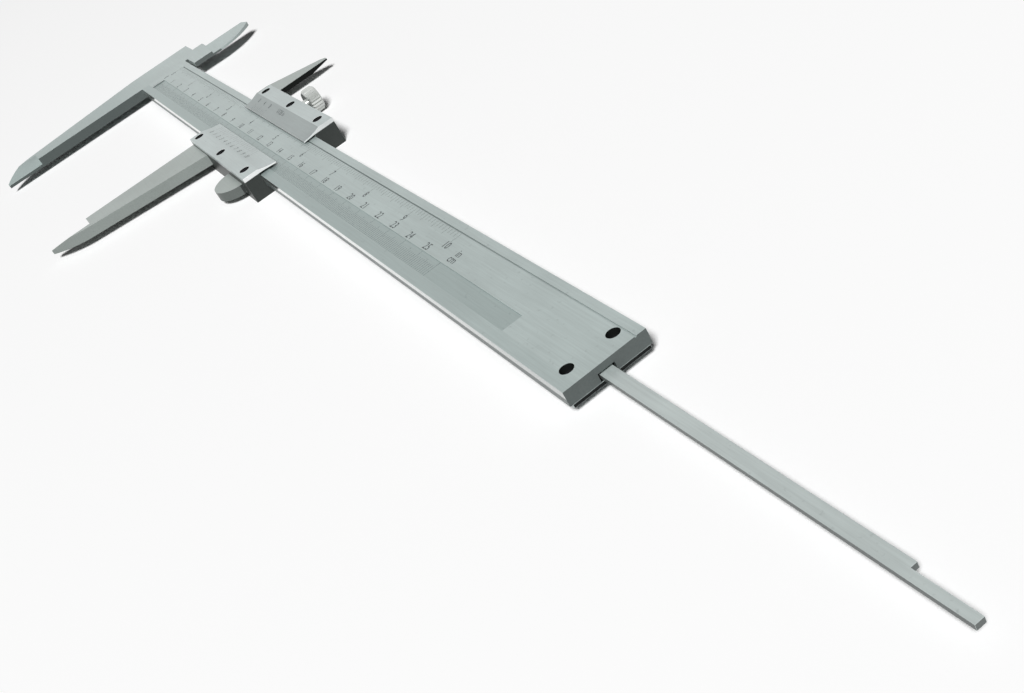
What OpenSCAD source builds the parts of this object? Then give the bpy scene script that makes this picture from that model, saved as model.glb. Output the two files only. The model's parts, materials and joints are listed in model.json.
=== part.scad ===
// Sliding caliper with two vernier plates, outside jaws, inside jaws and a depth rod.
// Millimetres. X runs along the beam from the fixed measuring face, Y runs across the beam from
// its near guide edge, and Z comes out of the scale face from the middle of the beam's thickness.

/* [Beam] */
// Largest opening of the jaws
range_len = 250; // [150:5:400]
// Opening of the jaws as drawn
opening = 93; // [0:1:150]
// Width of the beam between its guide edges
beam_w = 20; // [16:0.5:26]
// Thickness of the beam and of the outside jaws
beam_t = 3.6; // [3:0.1:5]
// Beam left beyond the slider at the largest opening
tail_len = 25; // [18:1:40]
// Start of the sunk scale band, from the fixed measuring face
band_start = 6.3; // [4:0.1:10]
// Reach of the scale band beyond the largest opening
band_reach = 48.7; // [30:0.1:60]
// Distance of the scale band from the near edge
band_near = 3.2; // [2:0.1:5]
// Width of the scale band
band_w = 5.2; // [3:0.1:7]
// Depth of the scale band
band_depth = 0.3; // [0.1:0.05:0.5]
// Width of the rim along the far edge
rim_w = 2.35; // [1:0.05:3]
// Width of the groove that sets the rim off from the scale face
rim_groove_w = 0.4; // [0.2:0.05:0.8]
// Depth of that groove
rim_groove_depth = 0.25; // [0.05:0.05:0.4]

/* [Outside jaws] */
// Reach of the outside jaws below the near edge
jaw_len = 62.2; // [45:0.2:90]
// Width of a jaw at its root
jaw_root_w = 17.7; // [12:0.1:24]
// Width of a jaw where the thin tip starts
jaw_neck_w = 9; // [6:0.1:14]
// Distance from the near edge to the thin tip
jaw_neck_y = 47.5; // [35:0.5:60]
// Width of the flat at the very end of a tip
jaw_tip_w = 1; // [0.4:0.1:3]
// Width of the bevel that thins the tip
tip_bevel_w = 6.5; // [3:0.1:8]
// Thickness left at the thin tip's measuring edge
tip_edge = 1.1; // [0.3:0.1:1.5]

/* [Head and inside jaws] */
// Height of the head above the near edge
head_top = 26; // [24:0.5:34]
// How far the head leans outward at its top
head_lean = 0.8; // [0:0.1:2]
// Distance from the fixed measuring face to the shoulder of the head
shoulder_x = 7.6; // [4:0.1:12]
// Height of the shoulder's upper step over the head's top
shoulder_rise = 4.5; // [2:0.1:8]
// Distance of the inside measuring edges behind the outside measuring faces
inside_offset = 1.6; // [0.5:0.1:6]
// Height of the inside jaws over the beam's far edge
inside_len = 28.8; // [20:0.2:40]
// Width of the fixed inside jaw at its root
blade_w = 11.6; // [8:0.1:16]
// Width of the inside jaws at their tips
blade_tip_w = 3.1; // [1:0.1:5]
// Fall of the fixed inside jaw's front toward its free edge
blade_fall = 1; // [0.3:0.1:1.4]
// Height of the slot between the beam's far edge and the fixed inside jaw
slot_h = 1.3; // [0.8:0.1:3]
// Width of the sliding inside jaw at its root
back_blade_w = 11.9; // [8:0.1:16]
// Length of the sliding inside jaw's thinned tip
back_tip_len = 7; // [3:0.5:12]
// Thickness left at that tip
back_tip_edge = 0.5; // [0.3:0.1:1]

/* [Slider] */
// Length of the slider
slider_len = 60; // [48:1:90]
// Width of the lower rail
low_rail_w = 5.2; // [4:0.1:8]
// Width of the upper rail
up_rail_w = 6; // [5:0.1:9]
// Height of the rails over the scale face
rail_rise = 0.8; // [0.3:0.05:1.2]
// Thickness of the back wall
back_wall = 2.75; // [2:0.05:4]
// Radius of the thumb lug
lug_r = 7.2; // [5:0.1:10]
// Distance of the thumb lug from the slider's free end
lug_end = 14.5; // [10:0.1:25]
// Thickness of the thumb lug
lug_t = 3.1; // [2:0.1:5]
// Drop of the thumb lug's top below the scale face
lug_drop = 1.5; // [0:0.1:3]
// Length of the cut that lets the fixed inside jaw into the upper rail
blade_pass = 0.6; // [0.3:0.1:2]

/* [Vernier plates] */
// Thickness of a vernier plate
plate_t = 1.3; // [1.1:0.05:2]
// Width of a vernier plate
plate_w = 11.1; // [8:0.1:13]
// Width of a plate's flat outer strip
plate_flat = 5; // [4.6:0.1:7]
// Thickness of a plate's inner edge
plate_edge = 0.4; // [0.15:0.05:0.8]
// Height of a plate's inner edge over the running gap on the scale face
plate_lift = 0.45; // [0:0.05:0.7]
// Radius of the hollow bevel
hollow_r = 24; // [16:1:60]
// Distance of the plate screws from a plate's outer edge
plate_screw_side = 2.8; // [2.2:0.1:4]
// Distance of the first plate screw from the jaw end
plate_screw_start = 2.9; // [2:0.1:5]
// Distance of the last plate screw from the free end
plate_screw_end = 6.3; // [3:0.1:9]
// Radius of a plate screw's head
plate_head_r = 1.55; // [0.9:0.05:1.8]
// Height of a plate screw's head
plate_head_h = 0.5; // [0.3:0.05:0.6]
// Depth of the heads below the plate's top
plate_head_sunk = 0.4; // [0.1:0.05:0.45]
// Radius of a plate screw's shank
plate_shank_r = 0.8; // [0.5:0.05:0.85]
// Length of a plate screw in the rail
plate_screw_grip = 3.2; // [2:0.1:4]

/* [Gib and lock screw] */
// Thickness of the gib strip
gib_t = 0.9; // [0.6:0.05:1.5]
// Height of the gib strip
gib_h = 3; // [2:0.1:3.4]
// Distance of the gib from the rail's ends
gib_end = 2.5; // [1:0.1:5]
// Play of the gib across the beam
gib_play = 0.2; // [0.1:0.05:0.5]
// Radius of a gib set screw
set_r = 1.25; // [0.8:0.05:1.4]
// Depth of the set screws below the rail's outer face
set_sunk = 0.5; // [0.2:0.1:1.5]
// Distance of the first set screw from the lock screw
set_from_lock = 6; // [5:0.1:9]
// Distance of the second set screw from the last plate screw
set_from_end = 3.7; // [3:0.1:6]
// Radius of the lock screw's shank
lock_r = 1.5; // [1:0.05:1.7]
// Distance of the lock screw from the middle plate screw
lock_from_mid = 3.3; // [3:0.1:6]
// Drop of the lock screw's axis below the middle of the beam
lock_drop = 0.2; // [0:0.05:0.6]
// Radius of the lock screw's head
lock_head_r = 4.3; // [3:0.1:6]
// Length of the lock screw's head
lock_head_len = 4.3; // [4:0.1:10]
// Gap between the upper rail and the lock screw's head
lock_gap = 2.7; // [0.4:0.1:4]
// Number of ridges round the lock screw's head
ridges = 24; // [12:1:36]
// Depth of the grooves between the ridges
ridge_depth = 0.45; // [0.2:0.05:0.8]
// Chamfer at the head's ends
lock_chamfer = 0.7; // [0.2:0.1:1.2]

/* [Depth rod] */
// Width of the depth rod
rod_w = 3.1; // [2:0.1:5]
// Offset of the depth rod from the beam's middle toward the near edge
rod_off = 0.4; // [0:0.1:2]
// Thickness of the depth rod
rod_t = 1.2; // [0.8:0.1:1.5]
// Start of the depth rod from the slider's jaw end
rod_start = 10; // [9:0.5:15]
// Length of the seat that carries the rod
seat_len = 20; // [16:0.5:30]
// Height of the seat on the back wall
seat_h = 0.15; // [0.1:0.05:0.3]
// Length of the narrowed tip
rod_tip_len = 13.5; // [6:0.5:25]
// Width cut away at the narrowed tip
rod_tip_cut = 1.3; // [0.4:0.1:1.6]
// Radius of a rivet
rivet_r = 0.75; // [0.5:0.05:1]
// Radius of a rivet's head
rivet_head_r = 1.4; // [1.1:0.1:1.8]
// Height of a rivet's head
rivet_head_h = 0.6; // [0.3:0.1:1]
// Depth of the rivets below the slider's back
rivet_sunk = 0.2; // [0.1:0.05:0.4]
// Distance of the rivets from the seat's ends
rivet_end = 4; // [2:0.1:6]
// Room beside the rod in its groove
groove_side = 0.5; // [0.2:0.05:1]
// Room over the rod in its groove
groove_over = 0.7; // [0.2:0.05:1]
// Start of the groove before the rod's start at the closed jaws
groove_lead = 2; // [1:0.5:4]

/* [End stop] */
// Length of the stop plate along the beam
stop_len = 12; // [9:0.5:16]
// Thickness of the stop plate
stop_t = 0.9; // [0.6:0.05:1.6]
// Distance of the stop plate from the beam's edges
stop_inset = 0.6; // [0.2:0.1:2]
// Distance of the stop screws from the beam's end
stop_screw_end = 5.3; // [4:0.1:7]
// Distance of the stop screws from the beam's edges
stop_screw_side = 4.35; // [3.2:0.05:5]
// Radius of a stop screw's shank
stop_r = 1.55; // [1:0.05:1.7]
// Radius of a stop screw's head
stop_head_r = 2.25; // [1.9:0.05:2.5]
// Depth of the stop screws' ends below the scale face
stop_sunk = 1.6; // [0.5:0.1:2]

/* [Fits] */
// Running gap between the beam and the slider
slide_gap = 0.05; // [0.02:0.01:0.1]
// Overlap of a jaw's rounded end with its straight edge
arc_ease = 0.15; // [0.1:0.05:0.4]
// Radial gap of a screw or rivet in its hole
hole_gap = 0.05; // [0.02:0.01:0.1]

/* [Hidden] */
$fn = 64;
hollow_fn = 300;
over = 1;
beam_len = range_len + slider_len + tail_len;
front = beam_t / 2;
back = -beam_t / 2;
scale_top = front + slide_gap;
rail_top = scale_top + rail_rise;
wall_top = back - slide_gap;
frame_back = wall_top - back_wall;
plate_top = rail_top + plate_t;
low_in = -slide_gap;
low_out = low_in - low_rail_w;
gib_in = beam_w + slide_gap;
up_in = gib_in + gib_t + gib_play;
up_out = up_in + up_rail_w;
plate_under = min(up_out - gib_in + slide_gap, plate_w - plate_edge);
jaw_neck = [-jaw_neck_w, -jaw_neck_y];
jaw_tip = [-jaw_tip_w, -jaw_len];
inside_top = beam_w + inside_len;
slot_top = beam_w + slot_h;
shoulder_top = head_top + shoulder_rise;
blade_x = blade_w - inside_offset;
blade_bow = blade_w - blade_tip_w + arc_ease;
blade_r = (pow(blade_bow, 2) + pow(inside_top - shoulder_top, 2)) / (2 * blade_bow);
rail_cut = blade_x + blade_pass;
head_relief = back_blade_w + inside_offset + blade_pass;
screw_pitch = (slider_len - plate_screw_start - plate_screw_end) / 2;
screw_xs = [for (i = [0:2]) plate_screw_start + i * screw_pitch];
low_screw_y = low_out + plate_screw_side;
up_screw_y = up_out - plate_screw_side;
head_floor = plate_top - plate_head_sunk - plate_head_h;
gib_left = rail_cut + gib_end;
gib_right = slider_len - gib_end;
lock_x = screw_xs[1] - lock_from_mid;
set_xs = [lock_x - set_from_lock, screw_xs[2] - set_from_end];
rod_y = beam_w / 2 - rod_off;
rod_bottom = wall_top + seat_h;
rod_top = rod_bottom + rod_t;
groove_top = rod_top + groove_over;
rivet_back = frame_back + rivet_sunk;
rivet_xs = [rod_start + rivet_end, rod_start + seat_len - rivet_end];
stop_x = beam_len - stop_screw_end;
stop_ys = [stop_screw_side, beam_w - stop_screw_side];
stop_bottom = back - stop_t;
steel = [0.70, 0.74, 0.73];
bright = [0.80, 0.82, 0.81];
dark = [0.10, 0.10, 0.10];
bronze = [0.68, 0.52, 0.30];

// Box between two corners
module block(a, b) {
  translate(a) cube(b - a);
}

// Section drawn in Y and Z, run along X
module along_x(x0, x1) {
  translate([x0, 0, 0]) rotate([90, 0, 90]) linear_extrude(x1 - x0) children();
}

// Section drawn in X and Z, run along Y
module along_y(y0, y1) {
  translate([0, y1, 0]) rotate([90, 0, 0]) linear_extrude(y1 - y0) children();
}

// Round bar along Y
module bar_y(x, z, y0, y1, r) {
  translate([x, y0, z]) rotate([-90, 0, 0]) cylinder(h = y1 - y0, r = r);
}

// Round bar along Z
module bar_z(x, y, z0, z1, r) {
  translate([x, y, z0]) cylinder(h = z1 - z0, r = r);
}

module at_slider() {
  translate([opening, 0, 0]) children();
}

// Centre of the arc of radius r that bulges to the left of the way from a to b
function arc_centre(a, b, r) =
  let (d = b - a, len = norm(d)) (a + b) / 2 + [d.y, -d.x] / len * sqrt(r * r - len * len / 4);

// Outside jaw with its measuring face on X = 0 and its body toward minus X
module outside_jaw() {
  d = jaw_neck - [-jaw_root_w, 0];
  n = [-d.y, d.x] / norm(d);
  c = jaw_tip - jaw_neck;
  r = (c * c + 2 * arc_ease * (c * n) + pow(arc_ease, 2)) / (2 * (c * n + arc_ease));
  end_w = jaw_root_w + d.x * jaw_len / d.y;
  difference() {
    translate([0, 0, back]) linear_extrude(beam_t) difference() {
      polygon([[0, 0], [-jaw_root_w, 0], [-end_w, -jaw_len], [0, -jaw_len]]);
      difference() {
        translate([-jaw_root_w, -jaw_len - over]) square([jaw_root_w + over, jaw_len + over - jaw_neck_y]);
        translate(jaw_neck + (r - arc_ease) * n) circle(r);
      }
    }
    along_y(-jaw_len - over, -jaw_neck_y)
      polygon([[-tip_bevel_w, front], [0, back + tip_edge], [over, back + tip_edge],
        [over, front + over], [-tip_bevel_w, front + over]]);
  }
}

// Outline of the head above the near edge, with the fixed inside jaw's root
module head_outline() {
  polygon([[0, 0], [-jaw_root_w, 0], [-jaw_root_w - head_lean, head_top], [-shoulder_x, head_top],
    [-shoulder_x, shoulder_top], [blade_x, shoulder_top], [blade_x, slot_top], [0, slot_top]]);
}

// Outline of the fixed inside jaw over the shoulder
module blade_outline() {
  intersection() {
    translate([blade_x - blade_r + arc_ease, shoulder_top]) circle(blade_r);
    polygon([[-inside_offset, shoulder_top - over], [blade_x, shoulder_top - over],
      [blade_x, inside_top + (blade_w - blade_tip_w) / 2], [-inside_offset, inside_top - blade_tip_w / 2]]);
  }
}

module beam() {
  color(steel) difference() {
    union() {
      block([0, 0, back], [beam_len, beam_w, front]);
      translate([0, 0, back]) linear_extrude(beam_t) head_outline();
      linear_extrude(front) blade_outline();
      outside_jaw();
    }
    // Room for the sliding inside jaw behind the head
    block([-head_relief, gib_in, back - over], [blade_x + over, inside_top, 0]);
    // Falling front of the fixed inside jaw
    along_y(shoulder_top - blade_fall, inside_top + over)
      polygon([[-inside_offset, front], [blade_x + over, front - blade_fall * (blade_w + over) / blade_w],
        [blade_x + over, front + over], [-inside_offset, front + over]]);
    block([band_start, band_near, front - band_depth],
      [range_len + band_start + band_reach, band_near + band_w, front + over]);
    block([band_start, beam_w - rim_w - rim_groove_w, front - rim_groove_depth],
      [beam_len + over, beam_w - rim_w, front + over]);
    block([rod_start - groove_lead, rod_y - rod_w / 2 - groove_side, back - over],
      [beam_len + over, rod_y + rod_w / 2 + groove_side, groove_top]);
    for (y = stop_ys) bar_z(stop_x, y, back - over, front + over, stop_r + hole_gap);
  }
}

module end_stop_plate() {
  color(steel) difference() {
    block([beam_len - stop_len, stop_inset, stop_bottom], [beam_len, beam_w - stop_inset, back]);
    for (y = stop_ys) {
      bar_z(stop_x, y, stop_bottom - over, back + over, stop_r + hole_gap);
      translate([stop_x, y, stop_bottom])
        cylinder(h = stop_head_r - stop_r, r1 = stop_head_r + hole_gap, r2 = stop_r + hole_gap);
    }
  }
}

module end_stop_screws() {
  color(dark) for (y = stop_ys) translate([stop_x, y, stop_bottom]) {
    cylinder(h = stop_head_r - stop_r, r1 = stop_head_r, r2 = stop_r);
    cylinder(h = front - stop_sunk - stop_bottom, r = stop_r);
  }
}

// Sliding inside jaw behind the parting plane
module back_blade() {
  left = -inside_offset - back_blade_w;
  difference() {
    translate([0, 0, back]) linear_extrude(front - slide_gap)
      polygon([[over, gib_in], [left + slot_h * 3, gib_in], [left, gib_in + slot_h * 3],
        [left, up_out + slot_h], [-inside_offset - blade_tip_w, inside_top - blade_tip_w / 2],
        [-inside_offset - blade_tip_w / 2, inside_top], [-inside_offset, inside_top],
        [-inside_offset, up_out + slot_h], [over, up_out]]);
    along_x(left - over, over)
      polygon([[inside_top - back_tip_len, back], [inside_top, -slide_gap - back_tip_edge],
        [inside_top + over, -slide_gap - back_tip_edge], [inside_top + over, back - over],
        [inside_top - back_tip_len, back - over]]);
  }
}

// Half-round thumb lug below the lower rail
module thumb_lug() {
  top = front - lug_drop;
  intersection() {
    bar_z(slider_len - lug_end, low_out, top - lug_t, top, lug_r);
    block([0, low_out - lug_r - over, frame_back], [slider_len, low_in, rail_top]);
  }
}

// Hole in a rail for a plate screw
module rail_hole(x, y) {
  bar_z(x, y, rail_top - plate_screw_grip, rail_top + over, plate_shank_r + hole_gap);
}

module slider_frame() {
  color(steel) at_slider() difference() {
    union() {
      difference() {
        union() {
          block([0, low_out, frame_back], [slider_len, up_out, rail_top]);
          mirror([1, 0, 0]) outside_jaw();
        }
        block([-over, low_in, wall_top], [slider_len + over, gib_in, rail_top + over]);
        // Pocket of the gib strip
        block([gib_left - gib_play, beam_w, -gib_h / 2 - gib_play],
          [gib_right + gib_play, up_in, rail_top + over]);
        // Way of the fixed inside jaw
        block([-over, beam_w, -slide_gap], [rail_cut, up_out + over, rail_top + over]);
      }
      back_blade();
      thumb_lug();
      block([rod_start, rod_y - rod_w / 2, wall_top - over],
        [rod_start + seat_len, rod_y + rod_w / 2, rod_bottom]);
    }
    for (x = screw_xs) rail_hole(x, low_screw_y);
    for (i = [1:2]) rail_hole(screw_xs[i], up_screw_y);
    for (x = set_xs) bar_y(x, 0, gib_in, up_out + over, set_r + hole_gap);
    bar_y(lock_x, -lock_drop, gib_in, up_out + over, lock_r + hole_gap);
    for (x = rivet_xs) {
      bar_z(x, rod_y, frame_back - over, rod_bottom + over, rivet_r + hole_gap);
      bar_z(x, rod_y, frame_back - over, rivet_back + rivet_head_h, rivet_head_r + hole_gap);
    }
  }
}

// Section of a vernier plate, its outer edge on zero, its flat on the rail and its inner edge at the beam
module plate_section() {
  a = [plate_flat, plate_top];
  edge_under = scale_top + plate_lift;
  b = [plate_w, edge_under + plate_edge];
  difference() {
    polygon([[0, rail_top], [0, plate_top], a, b, [plate_w, edge_under], [plate_under, rail_top]]);
    translate(arc_centre(b, a, hollow_r)) circle(hollow_r, $fn = hollow_fn);
  }
}

// Holes for the plate screws
module plate_holes(y) {
  for (x = screw_xs) {
    bar_z(x, y, rail_top - over, plate_top + over, plate_shank_r + hole_gap);
    bar_z(x, y, head_floor, plate_top + over, plate_head_r + hole_gap);
  }
}

module lower_vernier_plate() {
  color(bright) at_slider() difference() {
    along_x(0, slider_len) translate([low_out, 0]) plate_section();
    plate_holes(low_screw_y);
  }
}

module upper_vernier_plate() {
  color(bright) at_slider() difference() {
    along_x(0, slider_len) translate([up_out, 0]) mirror([1, 0]) plate_section();
    plate_holes(up_screw_y);
  }
}

module plate_screw(x, y) {
  bar_z(x, y, rail_top - plate_screw_grip, head_floor, plate_shank_r);
  bar_z(x, y, head_floor, head_floor + plate_head_h, plate_head_r);
}

module lower_plate_screws() {
  color(dark) at_slider() for (x = screw_xs) plate_screw(x, low_screw_y);
}

module upper_plate_screws() {
  color(dark) at_slider() for (i = [1:2]) plate_screw(screw_xs[i], up_screw_y);
}

module gib_strip() {
  color(bronze) at_slider()
    block([gib_left, up_in - gib_play / 2 - gib_t, -gib_h / 2], [gib_right, up_in - gib_play / 2, gib_h / 2]);
}

module gib_set_screws() {
  color(dark) at_slider() for (x = set_xs) bar_y(x, 0, up_in - gib_play / 2, up_out - set_sunk, set_r);
}

module lock_screw() {
  head_start = up_out + lock_gap;
  head_end = head_start + lock_head_len;
  color(steel) at_slider() translate([lock_x, 0, -lock_drop]) {
    bar_y(0, 0, up_in - gib_play / 2, head_start, lock_r);
    intersection() {
      translate([0, head_start, 0]) rotate([-90, 0, 0]) linear_extrude(lock_head_len)
        polygon([for (i = [0:2 * ridges - 1]) (lock_head_r - (i % 2) * ridge_depth)
          * [cos(i * 180 / ridges), sin(i * 180 / ridges)]]);
      rotate([-90, 0, 0]) rotate_extrude()
        polygon([[0, head_start], [lock_head_r - lock_chamfer, head_start],
          [lock_head_r + over, head_start + lock_chamfer + over],
          [lock_head_r + over, head_end - lock_chamfer - over], [lock_head_r - lock_chamfer, head_end],
          [0, head_end]]);
    }
  }
}

module depth_rod() {
  color(bright) at_slider() difference() {
    block([rod_start, rod_y - rod_w / 2, rod_bottom], [beam_len, rod_y + rod_w / 2, rod_top]);
    block([beam_len - rod_tip_len, rod_y + rod_w / 2 - rod_tip_cut, rod_bottom - over],
      [beam_len + over, rod_y + rod_w, rod_top + over]);
    for (x = rivet_xs) bar_z(x, rod_y, rod_bottom - over, rod_top + over, rivet_r + hole_gap);
  }
}

module rod_rivets() {
  color(dark) at_slider() for (x = rivet_xs) {
    bar_z(x, rod_y, rivet_back, rivet_back + rivet_head_h, rivet_head_r);
    bar_z(x, rod_y, rivet_back, rod_top, rivet_r);
  }
}

beam();
end_stop_plate();
end_stop_screws();
slider_frame();
lower_vernier_plate();
upper_vernier_plate();
lower_plate_screws();
upper_plate_screws();
gib_strip();
gib_set_screws();
lock_screw();
depth_rod();
rod_rivets();
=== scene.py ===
"""Studio scene of a sliding vernier caliper.

Eased steel pieces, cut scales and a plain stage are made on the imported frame.
"""
import json
import math

import bpy
from bpy.props import FloatProperty, FloatVectorProperty, IntProperty, PointerProperty
from mathutils import Matrix, Vector

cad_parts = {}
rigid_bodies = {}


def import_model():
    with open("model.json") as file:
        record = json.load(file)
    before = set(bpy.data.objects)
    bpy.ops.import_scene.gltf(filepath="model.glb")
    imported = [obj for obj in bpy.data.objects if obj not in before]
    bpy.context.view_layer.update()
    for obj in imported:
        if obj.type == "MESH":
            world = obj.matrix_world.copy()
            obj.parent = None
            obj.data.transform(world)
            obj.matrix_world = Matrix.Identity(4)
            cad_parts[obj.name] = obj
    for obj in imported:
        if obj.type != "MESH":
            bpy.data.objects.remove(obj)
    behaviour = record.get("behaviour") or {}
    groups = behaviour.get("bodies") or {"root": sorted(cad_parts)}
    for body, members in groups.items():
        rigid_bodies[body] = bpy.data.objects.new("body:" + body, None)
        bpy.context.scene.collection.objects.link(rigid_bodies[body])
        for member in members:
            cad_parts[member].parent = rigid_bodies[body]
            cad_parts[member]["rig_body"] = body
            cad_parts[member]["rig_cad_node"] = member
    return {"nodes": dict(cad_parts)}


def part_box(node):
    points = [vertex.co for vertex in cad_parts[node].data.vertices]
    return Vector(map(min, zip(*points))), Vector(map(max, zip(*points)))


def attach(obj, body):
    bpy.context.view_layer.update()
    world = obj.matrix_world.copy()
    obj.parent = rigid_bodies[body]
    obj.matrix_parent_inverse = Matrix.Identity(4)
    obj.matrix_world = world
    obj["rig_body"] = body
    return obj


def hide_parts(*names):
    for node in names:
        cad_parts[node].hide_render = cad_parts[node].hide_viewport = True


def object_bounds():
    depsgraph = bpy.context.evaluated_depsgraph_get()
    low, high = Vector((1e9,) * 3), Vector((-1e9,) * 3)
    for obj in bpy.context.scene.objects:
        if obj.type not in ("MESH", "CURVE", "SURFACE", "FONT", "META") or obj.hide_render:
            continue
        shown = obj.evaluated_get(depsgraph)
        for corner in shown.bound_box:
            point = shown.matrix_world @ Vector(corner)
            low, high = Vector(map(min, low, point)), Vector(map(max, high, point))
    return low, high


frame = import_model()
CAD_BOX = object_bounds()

bl_info = {
    "name": "Vernier caliper",
    "version": (1, 0, 0),
    "blender": (4, 5, 0),
    "location": "View3D > Sidebar > Caliper",
    "description": "Eased steel pieces, cut scales and a studio stage for a sliding vernier caliper",
    "category": "Object",
}

MM = 0.001
INCH = 0.0254

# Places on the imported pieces
BAND_Z = 1.5 * MM
FACE_Z = 1.8 * MM
BEAM_WIDTH = 20 * MM
RIM_GROOVE_Y = (17.2 * MM, 17.7 * MM)
RIM_GROOVE_START = 6 * MM
GUIDE_AREA = 300 * MM * MM
GUIDE_START = 100 * MM
PLATE_LOW, PLATE_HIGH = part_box("lower_vernier_plate")
UPPER_PLATE_LOW, UPPER_PLATE_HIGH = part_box("upper_vernier_plate")
SLIDER_X = PLATE_LOW.x
PLATE_SCREWS_X = tuple(SLIDER_X + x * MM for x in (2.9, 28.3, 53.7))
PLATE_SCREWS_Y = (PLATE_LOW.y + 2.8 * MM, UPPER_PLATE_HIGH.y - 2.8 * MM)
PLATE_HOLE_RADIUS = 1.75 * MM
INSIDE_JAW_Y = 30 * MM
UPPER_RAIL_Y = 18 * MM
RAIL_SIDE_Y = (-6 * MM, -5 * MM)
LUG_X = SLIDER_X + 36 * MM

# How much painted shade a face marked ground gets, from 0 for the satin faces to 1 for nearly black
DARKEST = 1.0
BEAM_END_DARK = 0.72
UPPER_RAIL_END_DARK = 0.5
LOWER_RAIL_END_DARK = 0.88
RAIL_SIDE_DARK = 0.92
LUG_SIDE_DARK = 0.6
JAW_BACK_DARK = 0.23
UPPER_BEVEL_DARK = 0.36
ROD_SIDE_DARK = 0.7

# Merging and easing of the copies
MERGE_GAP = 0.002 * MM
FLAT_ANGLE = math.radians(0.4)
EASE_ANGLE = math.radians(28)
SMOOTH_ANGLE = math.radians(32)

# Screwdriver slots: the size of the cut along each axis, and how it is turned
STOP_SLOT = (0.5 * MM, 8 * MM, 1.0 * MM)
STOP_TURN = (0.0, 0.0, math.radians(35))
PLATE_SLOT = (0.4 * MM, 4 * MM, 0.7 * MM)
PLATE_TURN = (0.0, 0.0, math.radians(25))
GIB_SLOT = (0.4 * MM, 1.2 * MM, 4 * MM)
GIB_TURN = (0.0, math.radians(20), 0.0)

# Near and far ends of the beam's lines and the middles of its number rows, across the beam
MM_LINES = (3.4 * MM, 6.8 * MM)
FIVE_LINES = (6.7 * MM, 7.5 * MM)
TEN_LINES = (7.4 * MM, 8.3 * MM)
SIXTEENTH_LINES = (15.45 * MM, 17.15 * MM)
QUARTER_LINES = (14.65 * MM, 15.55 * MM)
INCH_LINES = (13.75 * MM, 14.75 * MM)
CM_NUMBERS_Y = 9.8 * MM
INCH_NUMBERS_Y = 12.7 * MM
UNITS = (("cm", 10.4 * MM), ("in", 12.5 * MM))
UNIT_GAP = 2.8 * MM

# The same on a vernier plate, from its thin edge inward
VERNIER_START = 0.15 * MM
SHORT_LINES = (0.0, 1.9 * MM)
LONG_LINES = (1.85 * MM, 2.7 * MM)
VERNIER_NUMBERS = 4.1 * MM

# Height from which the vernier rows are laid down onto the plates
ABOVE_PLATES = 6 * MM

# Share of a letter's size that a number is high, and how wide it is drawn
NUMBER_SHARE = 0.72
NUMBER_STRETCH = 0.9

# Patterns of the finishes: stretch of the grain along the beam and along the lock screw, and scales
BEAM_GRAIN = (70.0, 2600.0, 2600.0)
LOCK_GRAIN = (1800.0, 120.0, 1800.0)
CLOUD_SCALE = 38.0
SPECK_SCALE = 900.0
COAT_SCALE = 700.0
BUMP_DEPTH = 0.01 * MM

# Tones: shares of a finish's own colour, then shares of the band's colour, then plain colours
CLOUD_TONES = (0.93, 1.05)
# Colour share of the painted shade at its darkest, on faces marked ground
DARKEST_TONE = 0.03
RUBBED_COAT_TONE = 2.0
HANDLED_TONE = 1.02
# Share of the band's colour for the soil and painted shade in the rim groove
GROOVE_DIRT_AND_SHADE_TONE = 0.5
# Share of the band's colour for the painted shade on the guide edges
GUIDE_SHADE_TONE = 0.35
SPECK_COLOUR = (0.55, 0.55, 0.55, 1.0)
POLISHED_COLOUR = (0.72, 0.74, 0.73, 1.0)

# Where the beam's stains, polish and painted shade change, along the beam, across it and over its
# height
HEAD_END_X = (-1 * MM, 1 * MM)
STAIN_FADE_X = (220 * MM, 320 * MM)
HEAD_STAIN_Y = (-14 * MM, 14 * MM)
BEAM_STAIN_Y = (3.0 * MM, 3.3 * MM)
POLISH_Z = (-0.2 * MM, 0.1 * MM)

# Stage
FLOOR_RADIUS = 6.0
FLOOR_CENTRE_X = 0.15
LAMP_PLACE = (8.705, -4.18, 10.44)
LAMP_SIZE = 4.0
CAMERA_PLACE = (532.05 * MM, -50.44 * MM, 140.54 * MM)
CAMERA_AHEAD = (-0.82946, 0.19654, -0.52284)
CAMERA_ABOVE = (-0.32307, 0.59478, 0.73611)
SENSOR_WIDTH = 36.0


# Settings


def colour_property(name, description, default):
    return FloatVectorProperty(name=name, description=description, default=default,
                               subtype="COLOR", size=3, min=0.0, max=1.0)


def length_property(name, description, default):
    return FloatProperty(name=name, description=description, default=default,
                         subtype="DISTANCE", unit="LENGTH", min=0.0)


class CaliperFinishes(bpy.types.PropertyGroup):
    """Colours and edge sizes of the caliper's metals"""
    beam_colour: colour_property(
        "Beam", "Satin steel of the beam and fixed jaws", (0.393, 0.453, 0.442))
    band_colour: colour_property(
        "Sunk band", "Steel of the sunk scale band", (0.3, 0.358, 0.348))
    slider_colour: colour_property(
        "Slider", "Satin steel of the slider and sliding jaws", (0.33, 0.369, 0.351))
    plate_colour: colour_property(
        "Plates", "Pale steel of the vernier plates", (0.455, 0.51, 0.503))
    rod_colour: colour_property(
        "Depth rod", "Steel of the depth rod", (0.463, 0.514, 0.503))
    lock_colour: colour_property(
        "Lock screw", "Bare steel of the ridged lock screw", (0.56, 0.58, 0.56))
    black_colour: colour_property(
        "Screws", "Black oxide of the screws", (0.008, 0.008, 0.009))
    bronze_colour: colour_property(
        "Gib", "Bronze of the gib strip", (0.42, 0.27, 0.11))
    ink_colour: colour_property(
        "Ink", "Paint in the cut lines and numbers", (0.06, 0.065, 0.067))
    edge: length_property(
        "Eased edge", "Width of the eased edges of the steel pieces", 0.18 * MM)
    small_edge: length_property(
        "Small eased edge", "Width of the eased edges of screws and thin plates", 0.08 * MM)


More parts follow.
